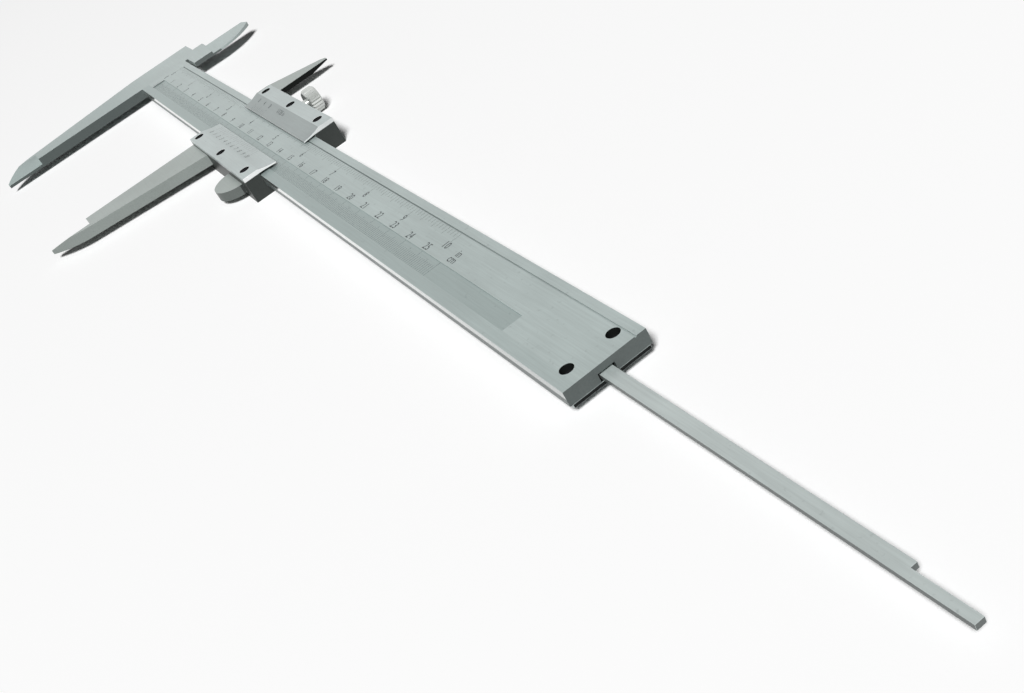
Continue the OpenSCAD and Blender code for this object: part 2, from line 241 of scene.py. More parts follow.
class CaliperScales(bpy.types.PropertyGroup):
    """Sizes of the cut lines and numbers"""
    zero: length_property(
        "Millimetre zero", "Distance of the millimetre scale's zero from the jaw face", 4.7 * MM)
    inch_zero: length_property(
        "Inch zero", "Distance of the inch scale's zero from the jaw face", 6 * MM)
    line_width: length_property("Line width", "Width of a cut line", 0.07 * MM)
    line_proud: length_property("Paint height", "Height of the paint over the metal", 0.012 * MM)
    number_height: length_property("Number height", "Height of the beam's numbers", 2.3 * MM)
    vernier_height: length_property(
        "Vernier number height", "Height of the plates' numbers", 1.7 * MM)
    centimetres: IntProperty(
        name="Centimetres", description="Last line of the beam's lower scale, before the units",
        default=26, min=1, max=30)
    inches: IntProperty(
        name="Inches", description="Last inch of the beam's upper scale", default=10, min=1, max=12)


class CaliperStage(bpy.types.PropertyGroup):
    """Floor, light and camera"""
    floor_colour: colour_property("Floor", "Pale floor as it is seen", (0.99, 0.99, 0.99))
    bounce_colour: colour_property(
        "Floor bounce", "Floor as it throws light back", (0.42, 0.42, 0.42))
    key_power: FloatProperty(
        name="Key light", description="Power of the large lamp over the depth rod",
        default=2440.0, subtype="POWER", unit="POWER", min=0.0)
    sky_strength: FloatProperty(
        name="Sky", description="Strength of the pale surroundings as a light",
        default=0.05, min=0.0)
    lens: FloatProperty(
        name="Lens", description="Focal length on a 36 mm sensor",
        default=47.45, subtype="DISTANCE_CAMERA", unit="CAMERA", min=1.0)


# Selecting and placing


def clear_selection():
    if bpy.context.object and bpy.context.object.mode != "OBJECT":
        bpy.ops.object.mode_set(mode="OBJECT")
    bpy.ops.object.select_all(action="DESELECT")


def pick(*pieces):
    clear_selection()
    for piece in pieces:
        piece.select_set(True)
    bpy.context.view_layer.objects.active = pieces[0]


def rename(piece, name):
    piece.name = name
    piece.data.name = name


def settle(piece):
    """Puts the piece's place, turn and size in its mesh."""
    pick(piece)
    bpy.ops.object.transform_apply(location=True, rotation=True, scale=True)


def apply_modifier(piece, kind, **settings):
    modifier = piece.modifiers.new(kind.lower(), kind)
    for key, value in settings.items():
        setattr(modifier, key, value)
    pick(piece)
    bpy.ops.object.modifier_apply(modifier=modifier.name)


def joined(pieces, name):
    """One object of several, with its place in its mesh."""
    pick(*pieces)
    if len(pieces) > 1:
        bpy.ops.object.join()
    piece = bpy.context.active_object
    rename(piece, name)
    settle(piece)
    return piece


def finished(piece, body, material):
    """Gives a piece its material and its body."""
    if not piece.data.polygons:
        raise RuntimeError(piece.name + " has no faces")
    piece.data.materials.clear()
    piece.data.materials.append(material)
    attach(piece, body)


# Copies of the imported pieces


def merged_copy(node):
    """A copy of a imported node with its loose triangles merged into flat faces."""
    pick(frame["nodes"][node])
    bpy.ops.object.duplicate()
    piece = bpy.context.active_object
    bpy.ops.object.parent_clear(type="CLEAR")
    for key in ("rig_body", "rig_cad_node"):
        if key in piece:
            del piece[key]
    rename(piece, node + "_eased")
    bpy.ops.object.mode_set(mode="EDIT")
    bpy.ops.mesh.select_all(action="SELECT")
    bpy.ops.mesh.remove_doubles(threshold=MERGE_GAP)
    bpy.ops.mesh.dissolve_limited(angle_limit=FLAT_ANGLE)
    bpy.ops.object.mode_set(mode="OBJECT")
    return piece


def mark(piece, name, value_of):
    """Writes one number per face under the given name for the material to read."""
    values = piece.data.attributes.new(name, "FLOAT", "FACE")
    values.data.foreach_set("value", [float(value_of(face)) for face in piece.data.polygons])


def ease(piece, width):
    """Eases the sharp edges and marks the eased faces, which the material makes brighter: abrasion,
    and with a high bright edge tone also a painted highlight.
    """
    piece.data.materials.clear()
    for name in ("metal", "eased"):
        material = bpy.data.materials.get(name) or bpy.data.materials.new(name)
        piece.data.materials.append(material)
    apply_modifier(piece, "BEVEL", width=width, segments=2, limit_method="ANGLE",
                   angle_limit=EASE_ANGLE, material=1, use_clamp_overlap=True,
                   miter_outer="MITER_ARC")
    mark(piece, "edge_wear_and_highlight", lambda face: face.material_index == 1)
    for face in piece.data.polygons:
        face.material_index = 0
    pick(piece)
    bpy.ops.object.shade_smooth_by_angle(angle=SMOOTH_ANGLE)
    apply_modifier(piece, "WEIGHTED_NORMAL", mode="FACE_AREA", weight=100, keep_sharp=True)


def burnish_ends(piece):
    """Marks the faces at the piece's two ends for the brighter edge tone, as a painted highlight."""
    edge_brightening = piece.data.attributes["edge_wear_and_highlight"].data
    along = [vertex.co.x for vertex in piece.data.vertices]
    ends = (min(along), max(along))
    for face in piece.data.polygons:
        nearest = min(abs(face.center.x - end) for end in ends)
        if abs(face.normal.x) > 0.99 and nearest < 0.01 * MM:
            edge_brightening[face.index].value = 1.0


def stand_for(node, body, material, width):
    """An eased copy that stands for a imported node."""
    piece = merged_copy(node)
    ease(piece, width)
    finished(piece, body, material)
    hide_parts(node)
    return piece


def cut_slots(piece, places, turn, size):
    """Cuts a screwdriver slot of the given size at each place."""
    cutters = []
    for place in places:
        clear_selection()
        bpy.ops.mesh.primitive_cube_add(size=1.0, location=place)
        cutter = bpy.context.active_object
        cutter.scale = size
        cutter.rotation_euler = turn
        cutters.append(cutter)
    cutter = joined(cutters, "slot_cutter")
    apply_modifier(piece, "BOOLEAN", operation="DIFFERENCE", solver="EXACT", object=cutter)
    bpy.data.objects.remove(cutter, do_unlink=True)


def slotted_screws(node, body, places, turn, size, looks):
    """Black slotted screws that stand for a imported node."""
    screws = merged_copy(node)
    cut_slots(screws, places, turn, size)
    ease(screws, looks.small_edge)
    finish = dark_finish("black_oxide", looks.black_colour, (0.5, 0.7))
    finished(screws, body, finish)
    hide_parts(node)


def stop_screws():
    """Places of the stop plate's two screws on its back, and the radius of their heads."""
    low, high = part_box("end_stop_screws")
    radius = (high.x - low.x) / 2
    middle = (low.x + high.x) / 2
    return [(middle, low.y + radius, low.z), (middle, high.y - radius, low.z)], radius


def near_axis(face, x, y, radius):
    """Whether a face's middle lies in an upright cylinder."""
    return (face.center.x - x) ** 2 + (face.center.y - y) ** 2 < radius ** 2


# Parts of the finishes


def put(tree, kind, place, inputs=None, **settings):
    node = tree.nodes.new(kind)
    node.location = place
    for key, value in settings.items():
        setattr(node, key, value)
    for key, value in (inputs or {}).items():
        node.inputs[key].default_value = value
    return node


def mixed(tree, place, factor, first, second, blend="MIX"):
    """A colour mix; a socket is linked and a colour or number is set."""
    node = put(tree, "ShaderNodeMix", place, data_type="RGBA", blend_type=blend)
    for key, value in ((0, factor), (6, first), (7, second)):
        if isinstance(value, bpy.types.NodeSocket):
            tree.links.new(value, node.inputs[key])
        else:
            node.inputs[key].default_value = value
    return node.outputs[2]


def spread(tree, place, value, low, high, to_low, to_high):
    """A number's range low to high, spread or squeezed to another range."""
    node = put(tree, "ShaderNodeMapRange", place, {1: low, 2: high, 3: to_low, 4: to_high})
    tree.links.new(value, node.inputs[0])
    return node.outputs[0]


def combined(tree, place, operation, first, second):
    """One number of two."""
    node = put(tree, "ShaderNodeMath", place, operation=operation)
    tree.links.new(first, node.inputs[0])
    tree.links.new(second, node.inputs[1])
    return node.outputs[0]


def noise(tree, place, coords, scale, detail, roughness=0.5):
    node = put(tree, "ShaderNodeTexNoise", place,
               {"Scale": scale, "Detail": detail, "Roughness": roughness})
    tree.links.new(coords, node.inputs["Vector"])
    return node.outputs[0]


def face_mark(tree, place, name):
    """The number that mark wrote on each face."""
    return put(tree, "ShaderNodeAttribute", place, attribute_name=name).outputs["Fac"]


def bumped(tree, place, height, strength):
    node = put(tree, "ShaderNodeBump", place, {"Strength": strength, "Distance": BUMP_DEPTH})
    tree.links.new(height, node.inputs["Height"])
    return node.outputs[0]


def output(tree, kind, place, shader):
    node = put(tree, kind, place)
    tree.links.new(shader.outputs[0], node.inputs[0])


def rgba(colour, factor=1.0):
    return (*(min(1.0, channel * factor) for channel in colour), 1.0)


def fresh_material(name):
    material = bpy.data.materials.get(name)
    if material is None:
        material = bpy.data.materials.new(name)
    material.use_nodes = True
    material.node_tree.nodes.clear()
    return material


# Finishes


def beam_stains(tree, place, along, base, band):
    """The beam's sunk band, the darker near side that is handled, and the soil and painted shade in
    the groove beside the rim.
    """
    base = mixed(tree, (-500, 480), face_mark(tree, (-900, 520), "sunk_band"), base, rgba(band))
    past_head = spread(tree, (-1100, 1300), place.outputs[0], *HEAD_END_X, 0.0, 1.0)
    on_head = spread(tree, (-1100, 1100), place.outputs[1], *HEAD_STAIN_Y, 1.0, 0.0)
    on_beam = spread(tree, (-1100, 700), place.outputs[1], *BEAM_STAIN_Y, 1.0, 0.0)
    side = put(tree, "ShaderNodeMix", (-900, 1000), data_type="FLOAT")
    for key, value in ((0, past_head), (2, on_head), (3, on_beam)):
        tree.links.new(value, side.inputs[key])
    handled = combined(tree, (-900, 760), "MULTIPLY", side.outputs[0], along)
    base = mixed(tree, (-480, 560), handled, base, rgba(band, HANDLED_TONE))
    # Soil and painted shade in the groove beside the rim, fading toward the beam's end
    soil_and_shade = combined(tree, (-560, 900), "MULTIPLY", face_mark(tree, (-700, 860), "groove_dirt_and_shade"), along)
    return mixed(tree, (-470, 620), soil_and_shade, base, rgba(band, GROOVE_DIRT_AND_SHADE_TONE))


def guide_polish(tree, place, along, guide):
    """How much polish the long guide edges have: most beside the scale face and toward the head,
    while below it they keep a painted shade.
    """
    height = spread(tree, (-900, -1100), place.outputs[2], *POLISH_Z, 0.0, 1.0)
    rubbed = combined(tree, (-700, -900), "MULTIPLY", guide, height)
    fading = spread(tree, (-700, -1100), along, 0.3, 1.0, 0.65, 1.0)
    return combined(tree, (-500, -900), "MULTIPLY", rubbed, fading)


def steel(name, colour, grain=BEAM_GRAIN, metallic=0.2, rough=(0.33, 0.44), bright_edge_tone=1.35, band=None,
          paints_shade=True):
    """Ground steel: grain along one direction, cloudy patches, small marks and brighter eased edges,
    which are abrasion and, with a high bright edge tone, also a painted highlight.

    With a band colour it is the beam's steel, with the beam's own stains, soil and painted shade in
    the rim groove, and guide edges with polish above and a painted shade below. Where the steel
    paints shade, the faces that are marked as ground get a painted shade, darker and less shiny.
    """
    material = fresh_material(name)
    tree = material.node_tree
    coords = put(tree, "ShaderNodeTexCoord", (-1500, 0)).outputs["Object"]
    lay = put(tree, "ShaderNodeMapping", (-1300, 0), {"Scale": grain})
    tree.links.new(coords, lay.inputs["Vector"])
    lines = noise(tree, (-1100, 0), lay.outputs[0], 1.0, 5.0, 0.62)
    clouds = noise(tree, (-1100, 300), coords, CLOUD_SCALE, 4.0, 0.55)
    specks = noise(tree, (-1100, -300), coords, SPECK_SCALE, 2.0)
    shader = put(tree, "ShaderNodeBsdfPrincipled", (100, 100), {"Metallic": metallic})

    patches = spread(tree, (-900, 300), clouds, 0.34, 0.66, 0.0, 1.0)
    base = mixed(tree, (-700, 300), patches, *(rgba(colour, tone) for tone in CLOUD_TONES))
    if band is not None:
        place = put(tree, "ShaderNodeSeparateXYZ", (-1300, 620))
        tree.links.new(coords, place.inputs[0])
        along = spread(tree, (-1100, 900), place.outputs[0], *STAIN_FADE_X, 1.0, 0.3)
        base = beam_stains(tree, place, along, base, band)
    # Painted shade: faces marked ground are darkened toward nearly black and lose most of their
    # specular shine
    if paints_shade:
        dark = face_mark(tree, (-700, 700), "ground")
        base = mixed(tree, (-450, 400), dark, base, rgba(colour, DARKEST_TONE))
        shine = spread(tree, (-300, 700), dark, 0.0, 1.0, 0.5, 0.05)
        tree.links.new(shine, shader.inputs["Specular IOR Level"])
    streaks = spread(tree, (-900, 60), lines, 0.3, 0.7, 0.9, 1.06)
    base = mixed(tree, (-400, 260), 1.0, base, streaks, "MULTIPLY")
    dots = spread(tree, (-900, -300), specks, 0.66, 0.78, 0.0, 0.35)
    base = mixed(tree, (-250, 200), dots, base, SPECK_COLOUR, "MULTIPLY")
    # Brighter eased edges in patches: abrasion, and with a high bright edge tone also a painted
    # highlight
    edge_patches = spread(tree, (-900, -700), clouds, 0.36, 0.6, 0.25, 0.95)
    edge = face_mark(tree, (-900, -520), "edge_wear_and_highlight")
    edge_brightening = combined(tree, (-700, -560), "MULTIPLY", edge, edge_patches)
    base = mixed(tree, (-100, 160), edge_brightening, base, rgba(colour, bright_edge_tone))

    gloss = spread(tree, (-500, -60), lines, 0.3, 0.7, *rough)
    if band is not None:
        guide = face_mark(tree, (-900, -900), "polish_and_shade")
        polish = guide_polish(tree, place, along, guide)
        # Painted shade on the whole guide face, then polish over its upper part
        base = mixed(tree, (-60, 400), guide, base, rgba(band, GUIDE_SHADE_TONE))
        base = mixed(tree, (-50, 300), polish, base, POLISHED_COLOUR)
        metal = spread(tree, (-100, -500), polish, 0.0, 1.0, metallic, 0.95)
        tree.links.new(metal, shader.inputs["Metallic"])
        smooth = spread(tree, (-300, -800), polish, 0.0, 1.0, 1.0, 0.4)
        gloss = combined(tree, (-100, -700), "MULTIPLY", gloss, smooth)
    tree.links.new(base, shader.inputs["Base Color"])
    tree.links.new(gloss, shader.inputs["Roughness"])
    tree.links.new(bumped(tree, (-300, -200), lines, 0.12), shader.inputs["Normal"])
    output(tree, "ShaderNodeOutputMaterial", (400, 100), shader)
    return material


def dark_finish(name, colour, rough):
    """Black oxide or paint: a dark, finely uneven coat that is a little paler where it is rubbed."""
    material = fresh_material(name)
    tree = material.node_tree
    coords = put(tree, "ShaderNodeTexCoord", (-1100, 0)).outputs["Object"]
    patches = noise(tree, (-900, 100), coords, COAT_SCALE, 4.0, 0.6)
    rubbed = spread(tree, (-700, 100), patches, 0.4, 0.75, 0.0, 1.0)
    base = mixed(tree, (-500, 100), rubbed, rgba(colour), rgba(colour, RUBBED_COAT_TONE))
    gloss = spread(tree, (-500, -60), patches, 0.3, 0.7, *rough)
    shader = put(tree, "ShaderNodeBsdfPrincipled", (100, 100),
                 {"Metallic": 0.0, "Specular IOR Level": 0.06})
    tree.links.new(base, shader.inputs["Base Color"])
    tree.links.new(gloss, shader.inputs["Roughness"])
    tree.links.new(bumped(tree, (-400, -200), patches, 0.15), shader.inputs["Normal"])
    output(tree, "ShaderNodeOutputMaterial", (400, 100), shader)
    return material


def scale_ink(looks):
    return dark_finish("scale_ink", looks.ink_colour, (0.45, 0.6))


# Scale parts


def repeat(line, count, step):
    """Repeats a line along the beam."""
    apply_modifier(line, "ARRAY", count=count, use_relative_offset=False,
                   use_constant_offset=True, constant_offset_displace=(step, 0.0, 0.0))
    return line


def line_row(cut, name, count, step, x, ends, z):
    """A row of painted lines across the beam, shallow strips with their lower half in the metal."""
    near, far = ends
    clear_selection()
    bpy.ops.mesh.primitive_plane_add(size=1.0, location=(x, (near + far) / 2, z + cut.line_proud))
    line = bpy.context.active_object
    line.scale = (cut.line_width, far - near, 1.0)
    rename(line, name)
    settle(line)
    bpy.ops.object.mode_set(mode="EDIT")
    bpy.ops.mesh.select_all(action="SELECT")
    sunk = (0.0, 0.0, -2 * cut.line_proud)
    bpy.ops.mesh.extrude_region_move(TRANSFORM_OT_translate={"value": sunk})
    bpy.ops.mesh.select_all(action="SELECT")
    bpy.ops.mesh.normals_make_consistent(inside=False)
    bpy.ops.object.mode_set(mode="OBJECT")
    return repeat(line, count, step)


def number(text, x, y, z, height, proud):
    """One number or unit, lying on a face with its reading side up."""
    clear_selection()
    bpy.ops.object.text_add(location=(0.0, 0.0, 0.0))
    letter = bpy.context.active_object
    letter.data.body = text
    letter.data.align_x = "CENTER"
    letter.data.align_y = "CENTER"
    letter.data.size = height / NUMBER_SHARE
    letter.data.extrude = proud
    letter.data.resolution_u = 2
    bpy.ops.object.convert(target="MESH")
    letter = bpy.context.active_object
    letter.location = (x, y, z)
    letter.scale = (NUMBER_STRETCH, 1.0, 1.0)
    settle(letter)
    return letter


# Operators


class CALIPER_OT_beam(bpy.types.Operator):
    """Beam with the fixed jaws, edges eased and the sunk scale band marked"""
    bl_idname = "caliper.beam"
    bl_label = "Beam"

    def execute(self, context):
        looks = context.scene.caliper_finishes
        finish = steel("beam_steel", looks.beam_colour, band=looks.band_colour)
        piece = stand_for("beam", "beam", finish, looks.edge)
        mark(piece, "sunk_band", self.in_band)
        # The groove beside the far rim gets soil and painted shade
        mark(piece, "groove_dirt_and_shade", self.in_groove)
        # The guide edges: polish above, painted shade below
        mark(piece, "polish_and_shade", self.on_guide)
        # Painted shade on the ends, the measuring face and in the stop screws' holes
        mark(piece, "ground", self.darkness)
        return {"FINISHED"}

    def in_band(self, face):
        return face.normal.z > 0.9 and abs(face.center.z - BAND_Z) < 0.02 * MM

    def in_groove(self, face):
        """Whether a face is a wall or the floor of the groove beside the far rim."""
        x, y, z = face.center
        sunk = BAND_Z < z < FACE_Z - 0.01 * MM
        return sunk and RIM_GROOVE_Y[0] < y < RIM_GROOVE_Y[1] and x > RIM_GROOVE_START

    def on_guide(self, face):
        """Whether a face is a long guide edge that the slider runs on."""
        sideways = abs(face.normal.y) > 0.9
        return sideways and face.center.x > GUIDE_START and face.area > GUIDE_AREA

    def darkness(self, face):
        """Painted shade goes on the insides of the stop screws' holes, on the measuring face and on
        the ends.
        """
        places, radius = stop_screws()
        below = face.center.z < FACE_Z - 0.05 * MM
        if below and any(near_axis(face, x, y, radius) for x, y, _ in places):
            return DARKEST
        return BEAM_END_DARK if abs(face.normal.x) > 0.99 else 0.0


class CALIPER_OT_end_stop(bpy.types.Operator):
    """Stop plate on the back of the beam's end and its slotted screws"""
    bl_idname = "caliper.end_stop"
    bl_label = "End stop"

    def execute(self, context):
        looks = context.scene.caliper_finishes
        finish = steel("stop_steel", looks.plate_colour)
        plate = stand_for("end_stop_plate", "beam", finish, looks.small_edge)
        # Painted shade on the stop plate's upper face and end
        mark(plate, "ground", self.darkness)
        places, _ = stop_screws()
        slotted_screws("end_stop_screws", "beam", places, STOP_TURN, STOP_SLOT, looks)
        return {"FINISHED"}

    def darkness(self, face):
        """Painted shade goes on the plate's upper face and its end."""
        return DARKEST if face.normal.z > 0.5 or face.normal.x > 0.5 else 0.0


class CALIPER_OT_slider(bpy.types.Operator):
    """Slider frame with the sliding jaws and the thumb lug"""
    bl_idname = "caliper.slider"
    bl_label = "Slider"

    def execute(self, context):
        looks = context.scene.caliper_finishes
        finish = steel("slider_steel", looks.slider_colour)
        piece = stand_for("slider_frame", "slider", finish, looks.edge)
        # Painted shade on the slider's ends, rail side, lug side and jaw back
        mark(piece, "ground", self.darkness)
        return {"FINISHED"}

    def darkness(self, face):
        """Painted shade goes on the faces that point along the beam, the lower rail's and lug's
        sides and the jaw's back.
        """
        middle, turned = face.center, face.normal
        if abs(turned.x) > 0.99:
            if middle.y > INSIDE_JAW_Y:
                return DARKEST
            return UPPER_RAIL_END_DARK if middle.y > UPPER_RAIL_Y else LOWER_RAIL_END_DARK
        if turned.y < -0.99 and RAIL_SIDE_Y[0] < middle.y < RAIL_SIDE_Y[1]:
            return RAIL_SIDE_DARK
        if middle.y > RAIL_SIDE_Y[0] or abs(turned.z) > 0.5:
            return 0.0
        if middle.x > LUG_X:
            return LUG_SIDE_DARK
        return JAW_BACK_DARK if turned.x > 0.5 else 0.0


class CALIPER_OT_plates(bpy.types.Operator):
    """Two hollow-bevelled vernier plates"""
    bl_idname = "caliper.plates"
    bl_label = "Vernier plates"

    def execute(self, context):
        looks = context.scene.caliper_finishes
        # The plates' edges and ends are made much brighter: abrasion and painted highlight
        finish = steel("plate_steel", looks.plate_colour, bright_edge_tone=2.2)
        for node in ("lower_vernier_plate", "upper_vernier_plate"):
            piece = stand_for(node, "slider", finish, looks.small_edge)
            burnish_ends(piece)
            # Painted shade in the screw holes and on the inner edges; the upper bevel a little
            # darker
            mark(piece, "ground", self.darkness)
        return {"FINISHED"}

    def darkness(self, face):
        """Painted shade goes in the screw holes and on the inner edges, and the upper plate's bevel
        is a little darker.
        """
        middle, turned = face.center, face.normal
        inner = 0 < middle.y < BEAM_WIDTH and abs(turned.y) > 0.8
        hole = middle.z < PLATE_HIGH.z - 0.12 * MM and any(
            near_axis(face, x, y, PLATE_HOLE_RADIUS) for x in PLATE_SCREWS_X for y in PLATE_SCREWS_Y)
        if inner or hole:
            return DARKEST
        return UPPER_BEVEL_DARK if turned.z > 0.5 and turned.y < -0.04 else 0.0


class CALIPER_OT_plate_screws(bpy.types.Operator):
    """Slotted screws of the vernier plates"""
    bl_idname = "caliper.plate_screws"
    bl_label = "Plate screws"

    def execute(self, context):
        looks = context.scene.caliper_finishes
        # The upper plate's first hole has no screw
        for node, screws_x in (("lower_plate_screws", PLATE_SCREWS_X),
                               ("upper_plate_screws", PLATE_SCREWS_X[1:])):
            low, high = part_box(node)
            places = [(x, (low.y + high.y) / 2, high.z) for x in screws_x]
            slotted_screws(node, "slider", places, PLATE_TURN, PLATE_SLOT, looks)
        return {"FINISHED"}


class CALIPER_OT_gib(bpy.types.Operator):
    """Bronze gib strip and its slotted set screws"""
    bl_idname = "caliper.gib"
    bl_label = "Gib"

    def execute(self, context):
        looks = context.scene.caliper_finishes
        bronze = steel("gib_bronze", looks.bronze_colour, metallic=0.8, paints_shade=False)
        stand_for("gib_strip", "slider", bronze, looks.small_edge)
        low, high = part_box("gib_set_screws")
        radius = (high.z - low.z) / 2
        middle = (low.z + high.z) / 2
        places = [(x, high.y, middle) for x in (low.x + radius, high.x - radius)]
        slotted_screws("gib_set_screws", "slider", places, GIB_TURN, GIB_SLOT, looks)
        return {"FINISHED"}


class CALIPER_OT_lock_screw(bpy.types.Operator):
    """Ridged lock screw on the slider's upper rail"""
    bl_idname = "caliper.lock_screw"
    bl_label = "Lock screw"

    def execute(self, context):
        looks = context.scene.caliper_finishes
        finish = steel("lock_steel", looks.lock_colour, LOCK_GRAIN, metallic=0.7,
                       rough=(0.2, 0.32), paints_shade=False)
        stand_for("lock_screw", "lock_screw", finish, looks.small_edge)
        return {"FINISHED"}


class CALIPER_OT_depth_rod(bpy.types.Operator):
    """Flat depth rod and the rivets that hold it"""
    bl_idname = "caliper.depth_rod"
    bl_label = "Depth rod"

    def execute(self, context):
        looks = context.scene.caliper_finishes
        finish = steel("rod_steel", looks.rod_colour)
        rod = stand_for("depth_rod", "slider", finish, looks.small_edge)
        # Painted shade on the rod's near side and tip
        mark(rod, "ground", self.darkness)
        stand_for("rod_rivets", "slider", finish, looks.small_edge)
        return {"FINISHED"}

    def darkness(self, face):
        """Painted shade goes on the rod's near side and its tip."""
        return ROD_SIDE_DARK if face.normal.y < -0.9 or face.normal.x > 0.99 else 0.0


class CALIPER_OT_beam_scales(bpy.types.Operator):
    """Millimetre and inch lines and numbers on the beam"""
    bl_idname = "caliper.beam_scales"
    bl_label = "Beam scales"

    def execute(self, context):
        cut = context.scene.caliper_scales
        ink = scale_ink(context.scene.caliper_finishes)
        tens, inches = cut.centimetres, cut.inches
        # The first two lines stand before the sunk band, on the scale face
        self.lines(cut, ink, "beam_mm_lines", (
            ("fine", 10 * tens - 1, MM, cut.zero + 2 * MM, MM_LINES, BAND_Z),
            ("half", 2 * tens, 5 * MM, cut.zero + 5 * MM, FIVE_LINES, BAND_Z),
            ("ten", tens, 10 * MM, cut.zero + 10 * MM, TEN_LINES, BAND_Z),
            ("zero", 2, MM, cut.zero, MM_LINES, FACE_Z),
        ))
        self.lines(cut, ink, "beam_inch_lines", (
            ("sixteenths", 16 * inches + 1, INCH / 16, cut.inch_zero, SIXTEENTH_LINES, FACE_Z),
            ("quarters", 4 * inches + 1, INCH / 4, cut.inch_zero, QUARTER_LINES, FACE_Z),
            ("inches", inches + 1, INCH, cut.inch_zero, INCH_LINES, FACE_Z),
        ))
        unit_x = cut.zero + tens * 10 * MM + UNIT_GAP
        labels = [(str(n), cut.zero + n * 10 * MM, CM_NUMBERS_Y) for n in range(tens)]
        labels += [(unit, unit_x, y) for unit, y in UNITS]
        self.numbers(cut, ink, "beam_mm_numbers", labels)
        labels = [(str(n), cut.inch_zero + n * INCH, INCH_NUMBERS_Y) for n in range(inches + 1)]
        self.numbers(cut, ink, "beam_inch_numbers", labels)
        return {"FINISHED"}

    def lines(self, cut, ink, name, rows):
        """Joins rows of lines to one piece on the beam."""
        piece = joined([line_row(cut, *row) for row in rows], name)
        finished(piece, "beam", ink)

    def numbers(self, cut, ink, name, labels):
        """Joins a row of numbers to one piece on the beam."""
        letters = [number(text, x, y, FACE_Z, cut.number_height, cut.line_proud)
                   for text, x, y in labels]
        finished(joined(letters, name), "beam", ink)


class CALIPER_OT_vernier_scales(bpy.types.Operator):
    """Vernier lines and numbers on the plates' hollow bevels"""
    bl_idname = "caliper.vernier_scales"
    bl_label = "Vernier scales"

    def execute(self, context):
        cut = context.scene.caliper_scales
        ink = scale_ink(context.scene.caliper_finishes)
        self.scale(cut, ink, "lower", zero=SLIDER_X + cut.zero,
                   edge=PLATE_HIGH.y - VERNIER_START, inward=-1,
                   divisions=20, span=39 * MM, every=2,
                   labels=[(str(n), 2 * n) for n in range(11)])
        self.scale(cut, ink, "upper", zero=SLIDER_X + cut.inch_zero,
                   edge=UPPER_PLATE_LOW.y + VERNIER_START, inward=1,
                   divisions=8, span=7 * INCH / 16, every=4,
                   labels=[("0", 0), ("4", 4), ("8", 8), ("1/128 in", 16)])
        return {"FINISHED"}

    def scale(self, cut, ink, side, zero, edge, inward, divisions, span, every, labels):
        """The lines and the numbers of one plate."""
        plate = bpy.data.objects[side + "_vernier_plate_eased"]
        step = span / divisions
        rows = []
        for name, count, gap, ends in (("short", divisions, step, SHORT_LINES),
                                       ("long", divisions // every, step * every, LONG_LINES)):
            near, far = (edge + inward * end for end in ends)
            rows.append(self.strip(cut, name, count + 1, gap, zero, near, far))
        row = edge + inward * VERNIER_NUMBERS
        self.lay(cut, ink, joined(rows, side + "_vernier_lines"), plate)
        letters = [self.label(cut, text, zero + place * step, row) for text, place in labels]
        self.lay(cut, ink, joined(letters, side + "_vernier_numbers"), plate)

    def strip(self, cut, name, count, step, x, near, far):
        """A row of lines that are cut across into short lengths, so that they follow the bevel."""
        clear_selection()
        bpy.ops.mesh.primitive_grid_add(x_subdivisions=1, y_subdivisions=8, size=1.0,
                                        location=(x, (near + far) / 2, ABOVE_PLATES))
        line = bpy.context.active_object
        line.scale = (cut.line_width, abs(far - near), 1.0)
        rename(line, name)
        settle(line)
        return repeat(line, count, step)

    def label(self, cut, text, x, y):
        """A number with its faces divided, so that it follows the bevel."""
        letter = number(text, x, y, ABOVE_PLATES, cut.vernier_height, 0.0)
        pick(letter)
        bpy.ops.object.mode_set(mode="EDIT")
        bpy.ops.mesh.select_all(action="SELECT")
        bpy.ops.mesh.subdivide(number_cuts=1)
        bpy.ops.object.mode_set(mode="OBJECT")
        return letter

    def lay(self, cut, ink, piece, plate):
        """Lays a flat row of lines or numbers onto a plate's hollow bevel."""
        apply_modifier(piece, "SHRINKWRAP", target=plate, wrap_method="PROJECT",
                       wrap_mode="ABOVE_SURFACE", use_project_z=True, use_negative_direction=True,
                       use_positive_direction=False, offset=cut.line_proud)
        finished(piece, "slider", ink)


